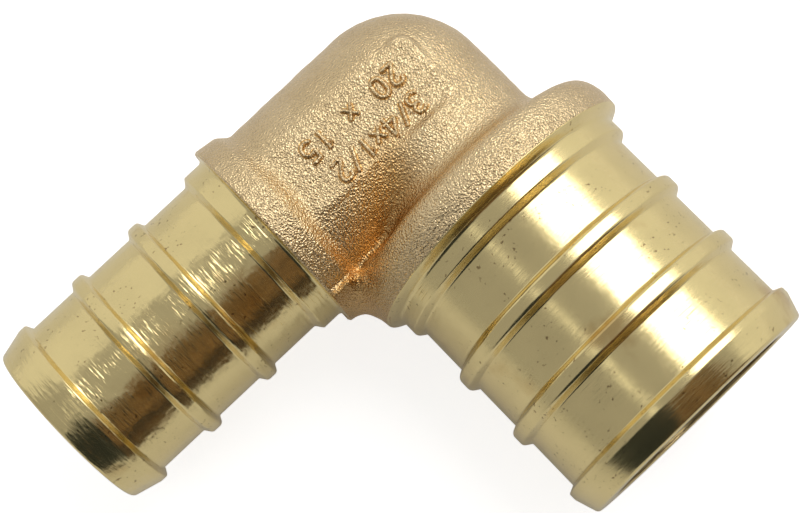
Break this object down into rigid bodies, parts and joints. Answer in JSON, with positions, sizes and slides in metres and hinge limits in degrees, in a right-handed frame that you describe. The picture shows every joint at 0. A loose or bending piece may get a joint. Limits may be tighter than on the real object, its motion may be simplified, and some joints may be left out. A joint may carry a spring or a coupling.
{
  "type": "pex crimp fitting",
  "caption": "Right-angle brass reducing elbow for plastic pipe held by crimp rings, with a small and a large ribbed barb on one round forged body.",
  "frame": {"origin": "crossing of the two bore axes, in the parting plane of the forging", "axes": "+X out of the small barb, +Y out of the large barb, +Z square to both, up"},
  "size_m": [0.0377, 0.0328, 0.0194],
  "materials": {
    "forged_brass": "shot-blasted hot forging",
    "turned_brass": "bright, with fine turning lines"
  },
  "bodies": {
    "root": {"reducing_elbow": "forged_brass"}
  },
  "joints": []
}
